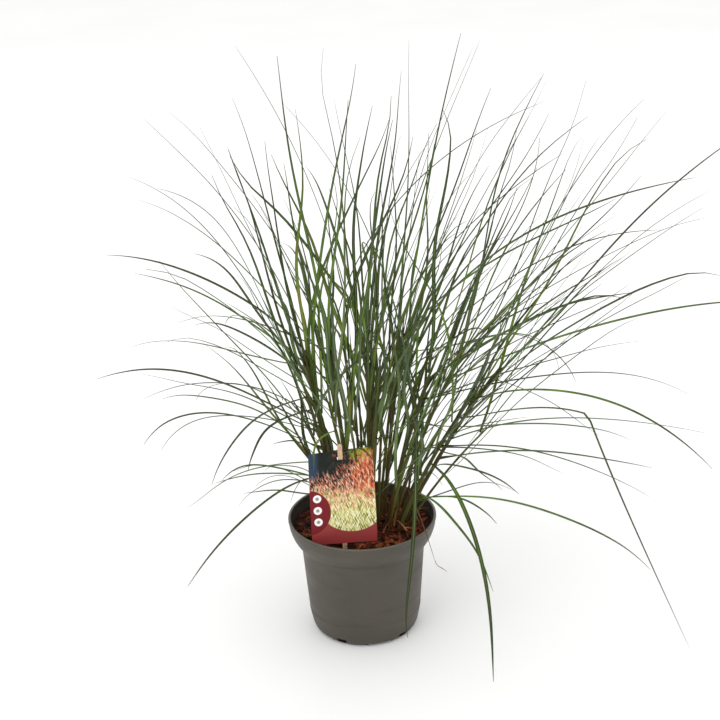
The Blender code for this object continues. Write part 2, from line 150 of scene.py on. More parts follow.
# Long leaves: stem, place along it, lead (0 leaves along the stem, 1 heads straight for the
# tip), tip x, y, z in mm, pitch at the tip, width in tenths of a mm, twist.  The first table
# repeats the frame's own.
FRAME_LEAVES = named({"crown": [
    ("centre", 0.86, 0.6, -128, 30, 758, 58, 46, 30),
    ("left_inner", 0.98, 0.3, -85, 150, 720, 78, 40, -25),
    ("left_outer", 0.8, 0.3, 13, 200, 695, 58, 40, 40),
    ("back_right", 0.86, 0.7, 72, 20, 755, 90, 48, 50),
    ("centre", 0.97, 0.5, 68, 250, 672, 78, 40, -35),
    ("left_outer", 0.97, 0.1, -137, 100, 680, 66, 36, 20),
    ("left_back", 0.96, 0.5, -155, 150, 605, 66, 40, -30),
    ("left_inner", 0.85, 0.7, -230, -50, 690, 42, 42, 25),
    ("right_inner", 0.74, 0.7, -69, -165, 732, 40, 42, -40),
    ("left_outer", 0.9, 0.1, 55, 200, 620, 40, 36, 30),
    ("centre", 0.7, 0.0, 48, -120, 698, 52, 42, -20),
], "upper_right": [
    ("back_right", 0.97, 0.4, 139, 100, 750, 72, 40, 25),
    ("back", 0.95, 0.4, 171, 200, 720, 60, 40, -30),
    ("back_right", 0.74, 0.5, 212, -100, 735, 46, 46, 35),
    ("left_inner", 0.84, 0.0, 222, -60, 702, 22, 42, -25),
    ("back_right", 0.92, 0.5, 430, 100, 560, 6, 44, 30),
    ("right_back", 0.96, 0.9, 371, 0, 675, 56, 44, -20),
    ("right_outer", 0.97, 0.8, 462, -30, 655, 34, 50, 20),
], "right": [
    ("right_back", 0.9, 0.8, 510, -50, 450, 4, 66, 10),
    ("right_back", 0.8, 0.9, 390, 200, 302, -6, 42, -25),
    ("right_back", 1.0, 0.6, 378, 200, 373, -5, 42, 25),
    ("right_inner", 0.8, 0.8, 405, -50, 330, -30, 50, -20),
    ("right_front", 0.95, 0.4, 412, -150, 280, -45, 48, 20),
    ("right_front", 0.82, 0.4, 374, -250, 96, -62, 50, -15),
    ("right_outer", 0.44, 0.8, 390, 100, 160, -20, 42, 20),
    ("right_front", 0.62, 0.7, 350, -100, 220, -30, 42, -20),
    ("right_front", 0.26, 0.7, 345, -150, 150, -38, 40, 20),
], "front": [
    ("right_front", 0.5, 0.6, 141, -300, 98, -90, 50, 15),
    ("right_front", 0.3, 0.7, 149, -200, 157, -52, 42, -15),
    ("right_inner", 0.68, 0.9, 49, -125, 45, -90, 52, 10),
], "left": [
    ("left_outer", 0.6, 0.8, -323, 0, 355, -25, 48, -20),
    ("left_front", 0.85, 0.5, -254, -100, 370, -25, 44, 20),
    ("left_front", 0.62, 0.7, -250, -150, 340, -42, 42, -20),
    ("left_front", 0.97, 0.7, -169, -200, 304, -62, 46, 20),
    ("left_front", 0.42, 0.6, -216, -115, 126, -50, 42, -20),
    ("left_outer", 0.95, 1.0, -297, 150, 340, -25, 42, 25),
], "upper_left": [
    ("left_inner", 0.75, 0.3, -303, 50, 502, 0, 48, -25),
    ("back_left", 0.92, 0.8, -268, 100, 560, 20, 42, 20),
], "back": [
    ("back", 0.8, 0.6, -60, 360, 520, 10, 46, 20),
    ("back", 0.64, 0.6, 160, 340, 420, -20, 44, -20),
    ("left_back", 0.72, 0.6, -190, 330, 300, -40, 42, 20),
]})
# A leaf bent over at a crease: crease x, y, z, pitch before it and pitch after it.
CREASES = {"right_6": (0.266, -0.130, 0.345, -4, -66)}

# Leaves with a tint of their own, from 0 dark green to 1 yellowish.
LEAF_TINTS = {"right_1": 0.74, "crown_4": 0.70, "upper_right_6": 0.62, "front_1": 0.45,
              "front_3": 0.25, "thin_front_1": 0.90, "thin_front_2": 0.55, "right_6": 0.35,
              "right_4": 0.12, "left_1": 0.15, "left_2": 0.10}

# Thinner leaves between them that the frame leaves out, in the same columns.
THIN_LEAVES = named({"thin_crown": [
    ("left_outer", 0.9, 0.3, -180, 50, 660, 62, 36, 30),
    ("left_back", 0.95, 0.3, -110, 200, 600, 82, 32, -20),
    ("left_inner", 0.94, 0.2, 0, 120, 665, 70, 38, 25),
    ("centre", 0.82, 0.5, 150, 50, 740, 62, 40, -30),
    ("left_outer", 0.72, 0.6, -255, -50, 630, 28, 40, 20),
    ("left_front", 0.92, 0.6, -215, -100, 628, 20, 38, -20),
], "thin_right": [
    ("back_right", 0.9, 0.6, 240, 50, 660, 64, 38, 30),
    ("front", 0.95, 0.8, 210, -120, 680, 88, 36, -40),
    ("back_right", 0.98, 0.6, 335, 120, 530, 24, 42, 20),
    ("right_inner", 0.92, 0.6, 408, -80, 570, 20, 42, -25),
    ("front", 0.88, 0.6, 340, -150, 575, 4, 38, 20),
    ("right_back", 0.9, 0.7, 355, 100, 468, 40, 38, -20),
    ("right_back", 1.0, 0.6, 366, 120, 556, 44, 38, 25),
    ("right_inner", 0.45, 0.7, 446, 20, 243, -20, 42, -15),
    ("right_back", 0.6, 1.0, 379, 200, 155, -30, 40, 20),
    ("right_inner", 0.5, 0.8, 255, -20, 210, -40, 44, -20),
    ("right_front", 0.24, 0.5, 164, -100, 190, -48, 34, 20),
    ("right_outer", 0.16, 0.6, 202, 20, 168, -40, 34, -20),
    ("back_right", 0.9, 0.9, 277, 200, 256, -85, 40, 20),
    ("right_inner", 0.85, 0.1, 302, 200, 244, -60, 36, -20),
    ("right_outer", 0.95, 0.9, 337, 200, 160, -35, 40, 20),
    ("right_front", 0.6, 0.9, 165, -150, 263, -20, 38, -20),
    ("right_front", 0.4, 0.0, 185, -150, 258, -10, 36, 20),
], "thin_left": [
    ("left_outer", 0.56, 0.8, -280, 80, 333, 10, 36, 20),
    ("left_outer", 0.46, 0.8, -245, 20, 322, -14, 34, -20),
    ("left_front", 0.74, 0.7, -230, -160, 330, -56, 40, 20),
    ("left_front", 0.88, 0.6, -135, -120, 285, -62, 38, -20),
    ("left_front", 0.52, 0.7, -214, -80, 212, -40, 36, 20),
    ("left_outer", 0.28, 0.7, -191, 50, 184, -16, 34, -20),
    ("left_front", 0.34, 0.6, -154, -50, 202, -52, 34, 20),
    ("left_outer", 0.18, 0.8, -153, 40, 173, -4, 32, -20),
    ("left_back", 0.62, 0.7, -215, 120, 270, -70, 36, 20),
    ("back_left", 0.78, 0.8, -282, 120, 452, 6, 38, -20),
    ("back_left", 0.97, 0.9, -247, 250, 330, -30, 38, 20),
    ("left_back", 0.95, 0.8, -226, 250, 328, -25, 40, -20),
    ("back_left", 0.6, 0.7, -183, 250, 363, 0, 34, 20),
    ("left_back", 0.95, 0.8, -223, 300, 416, -8, 36, -20),
    ("left_front", 0.22, 0.5, -160, -50, 243, -40, 36, 20),
    ("left_front", 0.4, 0.3, -101, -80, 297, -5, 44, -20),
    ("left_front", 0.18, 0.4, -128, -90, 248, -30, 34, 20),
    ("left_outer", 0.26, 0.6, -174, -30, 226, -45, 40, -20),
    ("left_outer", 0.22, 0.5, -123, -20, 235, -30, 40, 20),
], "thin_front": [
    ("front_left", 0.84, 0.4, -58, -80, 257, -80, 34, 10),
    ("front_left", 0.66, 0.3, 15, -66, 266, -62, 30, 20),
    ("front", 0.64, 0.6, 112, -150, 330, -20, 36, -20),
], "thin_back": [
    ("back", 0.74, 0.6, 60, 340, 470, -4, 38, 20),
    ("back_right", 0.7, 0.6, 230, 300, 430, -10, 40, -20),
    ("back_left", 0.7, 0.6, -100, 330, 420, -12, 38, 20),
    ("back", 0.5, 0.6, 30, 330, 240, -40, 36, -20),
]})

LEAF_FOLD = 0.36              # rise of a leaf's edges above its keel, for half its width
SHEATH_SHARE = 0.16           # of a long leaf's rows, for the part that hugs the stem

# Fine leaves: how many a stem and a shoot bear, on the clump's left and on its right, and the
# box that their tips stay in.  On the right, below the crown, only the long leaves reach out.
FINE_ON_STEM = (4, 10)
FINE_ON_SHOOT = (2, 4)
REACH_LOW = (-0.27, -0.24, 0.10)
REACH_HIGH = (0.42, 0.30, 0.71)
OPENING_FROM, OPENING_UNDER = 0.20, 0.46

# Dry sheaths and straw about the stems' feet: x, y, z, bearing, pitch, droop, length, width.
DRY_PIECES = [
    (0.041, -0.024, 0.150, 30, 84, 14, 0.034, 0.0036),
    (0.066, 0.010, 0.1545, 14, 4, 8, 0.022, 0.0018),
    (0.067, 0.012, 0.1490, -78, 6, 12, 0.030, 0.0032),
    (0.052, -0.024, 0.1480, -12, 4, 8, 0.014, 0.0024),
    (0.026, -0.034, 0.146, 40, 60, 30, 0.024, 0.0030),
    (0.056, -0.030, 0.146, 150, 50, 30, 0.026, 0.0030),
    (0.060, 0.020, 0.146, 40, 60, 30, 0.036, 0.0036),
    (-0.040, -0.014, 0.146, 205, 62, 40, 0.036, 0.0034),
    (0.030, 0.048, 0.146, 70, 64, 40, 0.038, 0.0038),
    (-0.030, 0.052, 0.146, 120, 60, 35, 0.040, 0.0036),
    (-0.060, -0.040, 0.1490, 160, 8, 10, 0.024, 0.0020),
    (-0.050, 0.040, 0.1490, 60, 10, 16, 0.032, 0.0022),
    (0.010, 0.066, 0.1490, 10, 8, 14, 0.030, 0.0020),
]
# Withered leaves that hang over the rim: the foot, the two points that pull the curve and the
# tip, then the width.
WITHERED = [
    ((0.060, -0.014, 0.196), (0.073, -0.044, 0.176), (0.078, -0.086, 0.172),
     (0.089, -0.092, 0.134), 0.0018),
    ((0.088, -0.091, 0.137), (0.090, -0.094, 0.128), (0.097, -0.095, 0.130),
     (0.103, -0.094, 0.122), 0.0012),
    ((-0.030, 0.012, 0.170), (-0.060, -0.020, 0.236), (-0.078, -0.044, 0.240),
     (-0.088, -0.056, 0.206), 0.0014),
    ((0.050, 0.012, 0.170), (0.074, 0.016, 0.214), (0.090, 0.010, 0.220),
     (0.104, 0.004, 0.192), 0.0012),
]


# ---------------------------------------------------------------- materials

def linear(hex_colour):
    """Shader colour of an sRGB hex value."""
    channels = [int(hex_colour[place:place + 2], 16) / 255 for place in (1, 3, 5)]
    return tuple(c / 12.92 if c <= 0.04045 else ((c + 0.055) / 1.055) ** 2.4
                 for c in channels) + (1.0,)


def add(tree, kind, inputs=None, out=0, stops=None, **settings):
    """Add a node with its settings and links, and give one of its outputs.  Stops are a
    ramp's (place, hex colour) pairs."""
    node = tree.nodes.new("ShaderNode" + kind)
    for name, value in settings.items():
        setattr(node, name, value)
    for name, value in (inputs or {}).items():
        if isinstance(value, bpy.types.NodeSocket):
            tree.links.new(value, node.inputs[name])
        else:
            node.inputs[name].default_value = value
    if stops:
        ramp = node.color_ramp.elements
        while len(ramp) < len(stops):
            ramp.new(0.5)
        for element, (place, colour) in zip(ramp, stops):
            element.position = place
            element.color = linear(colour)
    return node.outputs[out]


def lay(tree, under, *layers):
    """Lay colours over what is under them, one after another.  Each layer is a colour and its
    masks, which all have to let it through.  A mask is a value, where the colour begins, where
    it is full, and how strong it then is, if not wholly."""
    for ink, *masks in layers:
        share = None
        for value, begins, full, *most in masks:
            mask = add(tree, "MapRange", {"Value": value, "From Min": begins, "From Max": full,
                                          "To Max": most[0] if most else 1.0})
            share = mask if share is None else add(tree, "Math", {0: share, 1: mask},
                                                   operation="MULTIPLY")
        ink = linear(ink) if isinstance(ink, str) else ink
        under = add(tree, "Mix", {0: share, 6: under, 7: ink}, 2, data_type="RGBA")
    return under


def grown_place(tree):
    """A leaf's or stem's own three measures, from its attribute leaf_place, and its tint."""
    place = add(tree, "Attribute", out="Vector", attribute_name="leaf_place")
    tint = add(tree, "Attribute", out="Fac", attribute_name="tint")
    return *add(tree, "SeparateXYZ", {"Vector": place}).node.outputs, tint


def veined(made, tree, colour, across, spread, strength):
    """Finish a leaf or stem with fine lengthwise veins; spread sets how many lie across it."""
    turns = add(tree, "Math", {0: across, 1: spread}, operation="MULTIPLY")
    ridges = add(tree, "Math", {0: turns}, operation="SINE")
    return surfaced(made, colour, ridges, strength, 0.0001)


def finish(name, roughness, **sockets):
    """A material with its constant values on the shader's own sockets."""
    made = bpy.data.materials.new(name)
    made.use_nodes = True
    shader = made.node_tree.nodes["Principled BSDF"]
    shader.inputs["Roughness"].default_value = roughness
    for socket, value in sockets.items():
        shader.inputs[socket.replace("_", " ")].default_value = value
    return made, made.node_tree


def surfaced(made, colour, relief=None, strength=0.0, depth=0.0, roughness=None):
    """Give a material its colour, its relief of a depth in metres, and a varying roughness."""
    tree = made.node_tree
    links = {"Base Color": colour, "Roughness": roughness}
    if relief:
        links["Normal"] = add(tree, "Bump", {"Height": relief, "Strength": strength,
                                             "Distance": depth})
    for name, value in links.items():
        if value:
            tree.links.new(value, tree.nodes["Principled BSDF"].inputs[name])
    return made


def pot_plastic():
    """Injection-moulded polypropylene with recycled filler: satin, evenly taupe, with a fine
    sparked grain, a painted highlight along its rim, and a few dried splashes of potting soil."""
    made, tree = finish("moulded_polypropylene", 0.5, IOR=1.49)
    place = add(tree, "TexCoord", out="Object")
    height = add(tree, "SeparateXYZ", {"Vector": place}, "Z")
    drift = add(tree, "TexNoise", {"Vector": place, "Scale": 14.0, "Detail": 3.0})
    colour = add(tree, "ValToRGB", {"Fac": drift}, stops=[(0.3, "#403b33"), (0.7, "#49443a")])
    around = add(tree, "Mapping", {"Vector": place, "Scale": (16.0, 16.0, 60.0)})
    splash = add(tree, "TexNoise", {"Vector": around, "Scale": 1.0, "Detail": 6.0,
                                    "Roughness": 0.65})
    # Splashes, soil dust that rain has washed down to the rounded foot, and a painted highlight
    # on the rim's top edge.
    colour = lay(tree, colour, ("#372c21", (splash, 0.60, 0.74, 0.55)),
                 ("#39332a", (height, 0.045, 0.002, 0.30)),
                 ("#655f54", (height, POT_HEIGHT - 0.0014, POT_HEIGHT - 0.0004, 0.6)))
    # Sparked grain about 0.6 mm across.
    grain = add(tree, "TexNoise", {"Vector": place, "Scale": 1600.0, "Detail": 1.0})
    rough = add(tree, "MapRange", {"Value": splash, "From Min": 0.3, "From Max": 0.8,
                                   "To Min": 0.42, "To Max": 0.68})
    return surfaced(made, colour, grain, 0.12, 0.0003, rough)


def potting_soil():
    """Peat and compost: dull, almost black, in crumbs 1 to 4 mm across, paler between them."""
    made, tree = finish("peat_compost", 0.95)
    place = add(tree, "TexCoord", out="Object")
    crumbs = add(tree, "TexVoronoi", {"Vector": place, "Scale": 420.0})
    dark = add(tree, "ValToRGB", {"Fac": crumbs}, stops=[(0.0, "#3a2a1e"), (0.7, "#170f0a")])
    return surfaced(made, dark, crumbs, 0.8, 0.002)


def shredded_bark(name, shade):
    """Pine bark torn into fibres: red-brown, dull, streaked along its grain every 1 mm, with
    paler sapwood on some pieces.  The shade is painted shade: it darkens the bed that lies under
    the loose pieces, where their shadow falls."""
    made, tree = finish(name, 0.85, Specular_IOR_Level=0.2)
    place = add(tree, "TexCoord", out="Object")
    tint = add(tree, "Attribute", out="Fac", attribute_name="tint")
    patches = add(tree, "TexNoise", {"Vector": place, "Scale": 190.0, "Detail": 4.0,
                                     "Roughness": 0.6})
    both = add(tree, "Math", {0: tint, 1: patches}, operation="ADD")
    half = add(tree, "Math", {0: both, 1: 0.5}, operation="MULTIPLY")
    wood = add(tree, "ValToRGB", {"Fac": half},
               stops=[(0.22, "#200d07"), (0.42, "#421a0d"), (0.60, "#6a2d15"),
                      (0.76, "#8e4d29"), (0.9, "#a97a50")])
    fibres = add(tree, "TexNoise", {"Vector": place, "Scale": 950.0, "Detail": 2.0})
    # Fibre streaks darken the wood towards near black, and the shade adds painted shade,
    # strongest on the bed under the loose shreds.
    darker = add(tree, "MapRange", {"Value": fibres, "From Min": 0.35, "From Max": 0.6,
                                    "To Min": shade + 0.35, "To Max": shade})
    streaked = add(tree, "Mix", {0: darker, 6: wood, 7: linear("#1a0b07")}, 2,
                   data_type="RGBA")
    return surfaced(made, streaked, fibres, 0.6, 0.0008)


def leaf_finish(name, shades, underside, midrib, tip, sheath, roughness):
    """Grass leaf: a waxy skin over parallel veins, so it is satin and streaked lengthwise.  It
    has a pale midrib, a blue-grey bloom below, a tip painted darker, partly a dull tip and
    partly painted shade of back-lit leaves, and a brownish sheath.  The attribute leaf_place
    is (across from -1 to 1, along, 0 above to 1 below), and tint differs from leaf to leaf."""
    made, tree = finish(name, roughness, IOR=1.42, Specular_IOR_Level=0.3)
    across, along, side, tint = grown_place(tree)
    place = add(tree, "TexCoord", out="Object")
    drift = add(tree, "TexNoise", {"Vector": place, "Scale": 38.0, "Detail": 2.0})
    mottle = add(tree, "Math", {0: drift, 1: -0.5}, operation="ADD")
    mixed = add(tree, "Math", {0: mottle, 1: 0.7, 2: tint}, operation="MULTIPLY_ADD")
    green = add(tree, "ValToRGB", {"Fac": mixed}, stops=shades)
    below = add(tree, "Math", {0: side, 1: 0.5}, operation="GREATER_THAN")
    from_rib = add(tree, "Math", {0: across}, operation="ABSOLUTE")
    # The tip colour darkens the outer part of each leaf: partly a dull tip, partly painted shade
    # of back-lit leaves.
    colour = lay(tree, green, (underside, (below, 0.0, 1.0, 0.6)),
                 (midrib, (from_rib, 0.22, 0.08, 0.6)), (tip, (along, 0.30, 0.80, 0.80)),
                 (sheath, (along, 0.10, 0.0, 0.85)))
    # Four veins each side of the midrib, about 0.6 mm apart.
    return veined(made, tree, colour, across, 25.0, 0.35)


def stem_sheath():
    """Rolled leaf sheaths round a grass stem: smooth and satin, olive with red-brown streaks
    on the weathered side, and straw-coloured at the foot.  leaf_place is (around, along, 0)."""
    made, tree = finish("leaf_sheath", 0.5, IOR=1.42, Specular_IOR_Level=0.3)
    round_stem, along, _, tint = grown_place(tree)
    olive = add(tree, "ValToRGB", {"Fac": along},
                stops=[(0.0, "#553a1d"), (0.10, "#514a1c"), (0.5, "#4b521d"), (1.0, "#466020")])
    spread = add(tree, "CombineXYZ", {"X": round_stem, "Y": along, "Z": tint})
    drawn = add(tree, "Mapping", {"Vector": spread, "Scale": (2.6, 3.0, 30.0)})
    streaks = add(tree, "TexNoise", {"Vector": drawn, "Scale": 1.0, "Detail": 3.0})
    flushed = lay(tree, olive, ("#4b2413", (streaks, 0.46, 0.60, 0.80)))
    return veined(made, tree, flushed, round_stem, 60.0, 0.3)


def birch_stick():
    """Flat birch stick, sawn and sanded: pale peach, dull, with brown grain lines 0.8 mm
    apart that run its length, and darker where it has stood in wet bark."""
    made, tree = finish("sanded_birch", 0.62)
    place = add(tree, "TexCoord", out="Object")
    height = add(tree, "SeparateXYZ", {"Vector": place}, "Z")
    lengthwise = add(tree, "Mapping", {"Vector": place, "Scale": (1200.0, 1200.0, 40.0)})
    grain = add(tree, "TexNoise", {"Vector": lengthwise, "Scale": 1.0, "Detail": 2.0})
    wood = add(tree, "ValToRGB", {"Fac": grain}, stops=[(0.3, "#b98f6d"), (0.65, "#d9b797")])
    damp = lay(tree, wood, ("#6b4a30", (height, 0.150, 0.138, 0.6)))
    return surfaced(made, damp, grain, 0.3, 0.0002)


# Layout of the printed card, in millimetres from its lower left corner.
PICTURE_CENTRE, PICTURE_RADIUS = (53.0, 62.0), 47.0
BADGE_CENTRE, BADGE_RADIUS = (-5.0, 43.5), 30.5
ICON_CENTRES = [(9.0, 61.5), (9.1, 45.7), (9.3, 30.3)]
ICON_RADIUS = 5.2


def printed_card():
    """Offset print on polypropylene card, under a clear varnish: satin, bright, quite flat.
    A plain picture of feathery grass in a round window, over a brick-red ground with a
    crimson badge and three blank discs.  It bears no lettering."""
    made, tree = finish("printed_card", 0.42, IOR=1.5, Specular_IOR_Level=0.25)
    page = add(tree, "UVMap", uv_map="print")
    millimetres = add(tree, "Mapping", {"Vector": page, "Scale": (
        CARD_SIZE[0] * 1000, CARD_SIZE[2] * 1000, 1.0)})
    right, up, _ = add(tree, "SeparateXYZ", {"Vector": millimetres}).node.outputs

    def strokes(turn, width, length, seed):
        """Noise drawn out into strokes of a width and length in millimetres."""
        turned = add(tree, "Mapping", {"Vector": millimetres, "Location": (seed, seed, 0.0),
                                       "Rotation": (0.0, 0.0, math.radians(turn))})
        drawn = add(tree, "Mapping", {"Vector": turned,
                                      "Scale": (1 / width, 1 / length, 1.0)})
        return add(tree, "TexNoise", {"Vector": drawn, "Scale": 1.0, "Detail": 3.0})

    def raised(ragged, height, base):
        """Strokes that lift an edge by up to a height in millimetres, on a base."""
        return add(tree, "Math", {0: ragged, 1: height, 2: base}, operation="MULTIPLY_ADD")

    def disc(centre, radius, edge=0.25):
        away = add(tree, "VectorMath", {0: millimetres, 1: (*centre, 0.0)}, "Value",
                   operation="DISTANCE")
        return away, radius + edge, radius - edge

    # Dark trees far off, then leaves that are turning yellow.
    far = add(tree, "TexNoise", {"Vector": millimetres, "Scale": 0.09, "Detail": 2.0})
    trees = add(tree, "ValToRGB", {"Fac": far}, stops=[(0.35, "#080d0a"), (0.7, "#17231b")])
    leafy = add(tree, "TexNoise", {"Vector": millimetres, "Scale": 0.22, "Detail": 2.0})
    # The grass's own leaves: strokes over 1 mm wide, coarser than print so that they show.
    grass = add(tree, "ValToRGB", {"Fac": strokes(-24.0, 1.5, 11.0, 3.0)},
                stops=[(0.34, "#4f5a1c"), (0.43, "#adad42"), (0.50, "#ddd58a"),
                       (0.58, "#f8f2d2"), (0.66, "#cbbf60")])
    rough_top = raised(strokes(10.0, 2.5, 14.0, 61.0), 60.0, up)
    crossing = strokes(22.0, 1.3, 12.0, 83.0)
    # Feathery plumes in coral to dusky pink.  Their tops step up towards the right.
    plume = add(tree, "ValToRGB", {"Fac": strokes(-12.0, 3.0, 9.0, 29.0)},
                stops=[(0.34, "#8a3518"), (0.44, "#cf5f34"), (0.54, "#e38a62"),
                       (0.64, "#f5cbb2")])
    step = add(tree, "MapRange", {"Value": right, "From Min": 40.0, "From Max": 66.0,
                                  "To Max": -26.0})
    ragged = raised(strokes(-10.0, 4.0, 12.0, 71.0), 50.0, step)
    below_crest = (add(tree, "Math", {0: ragged, 1: up}, operation="ADD"), 120.0, 106.0)
    slanting, standing = strokes(-36.0, 1.3, 11.0, 11.0), strokes(-4.0, 1.4, 9.0, 47.0)
    wisps = strokes(-34.0, 1.0, 9.0, 97.0)
    picture = lay(
        tree, trees,
        ("#293c52", (right, 13.5, 9.0), (up, 82.0, 92.0)),
        ("#a6a82e", (leafy, 0.38, 0.52), disc((67.0, 117.0), 13.0, 4.0)),
        (grass, (rough_top, 106.0, 88.0)),
        ("#66762a", (crossing, 0.57, 0.64), (up, 66.0, 50.0)),
        ("#fbf6e0", (crossing, 0.43, 0.36), (up, 62.0, 46.0)),
        (plume, (slanting, 0.50, 0.56), below_crest, (up, 40.0, 56.0)),
        ("#efbfa8", (standing, 0.54, 0.60), below_crest, (up, 50.0, 64.0), (right, 64.0, 54.0)),
        (plume, (standing, 0.45, 0.52), below_crest, (up, 56.0, 72.0), (right, 50.0, 64.0)),
        ("#c06a48", (wisps, 0.58, 0.64), (right, 27.0, 38.0), (up, 76.0, 88.0)))
    icons = [layer for centre in ICON_CENTRES
             for layer in (("#f6f3ee", disc(centre, ICON_RADIUS)),
                           ("#918c88", disc(centre, ICON_RADIUS * 0.42, 0.8)))]
    # The picture fills the card above the middle of its round window.
    colour = lay(tree, linear("#933837"),
                 (picture, (up, PICTURE_CENTRE[1], PICTURE_CENTRE[1] + 0.1)),
                 (picture, disc(PICTURE_CENTRE, PICTURE_RADIUS)),
                 ("#73101c", disc(BADGE_CENTRE, BADGE_RADIUS)), *icons)
    return surfaced(made, colour)


def studio_floor():
    """Matt white studio paper, with the faintest tooth."""
    made, tree = finish("studio_paper", 0.9)
    place = add(tree, "TexCoord", out="Object")
    tooth = add(tree, "TexNoise", {"Vector": place, "Scale": 3.0})
    paper = add(tree, "ValToRGB", {"Fac": tooth}, stops=[(0.3, "#f5f5f4"), (0.7, "#f8f8f7")])
    return surfaced(made, paper)


# ---------------------------------------------------------------- modelling by hand

def activate(piece):
    """Select one piece and nothing else."""
    bpy.ops.object.select_all(action="DESELECT")
    piece.select_set(True)
    bpy.context.view_layer.objects.active = piece


def primitive(operator, scale=(1.0, 1.0, 1.0), **settings):
    """Add a primitive with nothing else selected, its size and place in its mesh."""
    bpy.ops.object.select_all(action="DESELECT")
    operator(**settings)
    made = bpy.context.object
    made.scale = scale
    bpy.ops.object.transform_apply(location=True, rotation=True, scale=True)
    return made


def edit():
    """Go into edit mode on the active piece with nothing selected."""
    bpy.ops.object.mode_set(mode="EDIT")
    bpy.ops.mesh.select_all(action="DESELECT")


def pick(kind, test):
    """In edit mode, select only the verts, edges or faces that pass a test."""
    bpy.ops.mesh.select_mode(type={"verts": "VERT", "edges": "EDGE", "faces": "FACE"}[kind])
    bpy.ops.mesh.select_all(action="DESELECT")
    mesh = bpy.context.object.data
    shape = bmesh.from_edit_mesh(mesh)
    for item in getattr(shape, kind):
        if test(item):
            item.select_set(True)
    bmesh.update_edit_mesh(mesh)


def pick_along(axis, length, above=-1.0):
    """Select only the edges that run further than a length along an axis, above a height."""
    pick("edges", lambda e: abs((e.verts[0].co - e.verts[1].co)[axis]) > length
         and min(v.co.z for v in e.verts) > above)


def face_outwards():
    bpy.ops.mesh.select_all(action="SELECT")
    bpy.ops.mesh.normals_make_consistent(inside=False)


def leave_edit(name):
    bpy.ops.object.mode_set(mode="OBJECT")
    made = bpy.context.object
    made.name = name
    made.data.name = name
    return made


def settle(piece, angle):
    """Put a piece's place into its mesh and shade it smooth up to an angle."""
    activate(piece)
    bpy.ops.object.transform_apply(location=True, rotation=True, scale=True)
    bpy.ops.object.shade_smooth_by_angle(angle=math.radians(angle))
    return piece


def combine(piece, other, operation):
    """Cut another solid out of a piece, or join it on, and take the other away."""
    step = piece.modifiers.new(operation, "BOOLEAN")
    step.operation = operation
    step.solver = "EXACT"
    step.object = other
    bpy.context.view_layer.objects.active = piece
    bpy.ops.object.modifier_apply(modifier=step.name)
    bpy.data.objects.remove(other)


def hand_in(piece, look, slot, *nodes):
    """Give a piece its finish and its body, and hide the frame nodes that it stands for.  The
    slot is not used.
    """
    piece.data.materials.clear()
    piece.data.materials.append(look)
    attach(piece, "root")
    if nodes:
        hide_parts(*nodes)


def direction(bearing, pitch=0.0):
    level = math.cos(math.radians(pitch))
    turn = math.radians(bearing)
    return Vector((level * math.cos(turn), level * math.sin(turn), math.sin(math.radians(pitch))))


# ---------------------------------------------------------------- pot

def sector(inner, outer, low, high, bearing, width, low_outer=None):
    """A block that is a part turn of a ring: an upright plate spun about the pot's axis.  Its
    outer face may slope in to a smaller radius at the bottom."""
    turn = math.radians(bearing - width / 2)
    middle = (inner + outer) / 2
    primitive(bpy.ops.mesh.primitive_plane_add, (outer - inner, high - low, 1.0), size=1.0,
              rotation=(math.pi / 2, 0.0, turn),
              location=(middle * math.cos(turn), middle * math.sin(turn), (low + high) / 2))
    edit()
    bpy.ops.mesh.select_all(action="SELECT")
    bpy.ops.mesh.spin(steps=8, angle=math.radians(width), center=(0, 0, 0), axis=(0, 0, 1))
    bpy.ops.mesh.select_all(action="SELECT")
    bpy.ops.mesh.remove_doubles(threshold=0.00001)
    face_outwards()
    if low_outer:
        pick("verts", lambda v: v.co.z < (low + high) / 2 and v.co.xy.length > middle)
        ratio = low_outer / outer
        bpy.ops.transform.resize(value=(ratio, ratio, 1.0), center_override=(0, 0, low))
    return leave_edit("sector")


def raised_disc(profile, segments):
    """Extrude and resize a disc through each (radius, height) of a profile."""
    radius, height = profile[0]
    primitive(bpy.ops.mesh.primitive_circle_add, vertices=segments, radius=radius,
              fill_type="NGON", location=(0, 0, height))
    edit()
    pick("faces", lambda face: True)
    for next_radius, next_height in profile[1:]:
        bpy.ops.mesh.extrude_region_move(
            TRANSFORM_OT_translate={"value": (0.0, 0.0, next_height - height)})
        ratio = next_radius / radius
        bpy.ops.transform.resize(value=(ratio, ratio, 1.0), center_override=(0, 0, next_height))
        radius, height = next_radius, next_height


def make_pot(look):
    raised_disc(POT_OUTSIDE + POT_INSIDE, POT_SEGMENTS)
    face_outwards()
    pot = leave_edit("nursery_pot")
    for bearing in NOTCH_BEARINGS:
        combine(pot, sector(*HOUSING, bearing, NOTCH_WIDTH + 4, HOUSING_LOW_RADIUS), "UNION")
    for bearing in NOTCH_BEARINGS:
        drain = primitive(bpy.ops.mesh.primitive_cube_add, DRAIN_SIZE, size=1.0,
                          location=direction(bearing) * DRAIN_RADIUS + Vector((0, 0, 0.006)),
                          rotation=(0, 0, math.radians(bearing)))
        combine(pot, drain, "DIFFERENCE")
        combine(pot, sector(*NOTCH, bearing, NOTCH_WIDTH), "DIFFERENCE")
    settle(pot, 30)
    hand_in(pot, look, "pot_plastic", "pot")


# ---------------------------------------------------------------- mulch

def mulch_height(x, y):
    """Height of the bark bed: a gentle roll, a little deeper against the stems."""
    point = Vector((x * 26, y * 26, 3.0))
    fine = Vector((x * 90, y * 90, 8.0))
    from_stick = (x - CARD_FOOT.x) ** 2 + (y - CARD_FOOT.y) ** 2
    return (MULCH_LEVEL + 0.0016 * noise.noise(point) + 0.0012 * noise.noise(fine)
            + 0.0012 * math.exp(-(x * x + y * y) / 0.0012)
            - 0.0030 * math.exp(-from_stick / 0.00015))


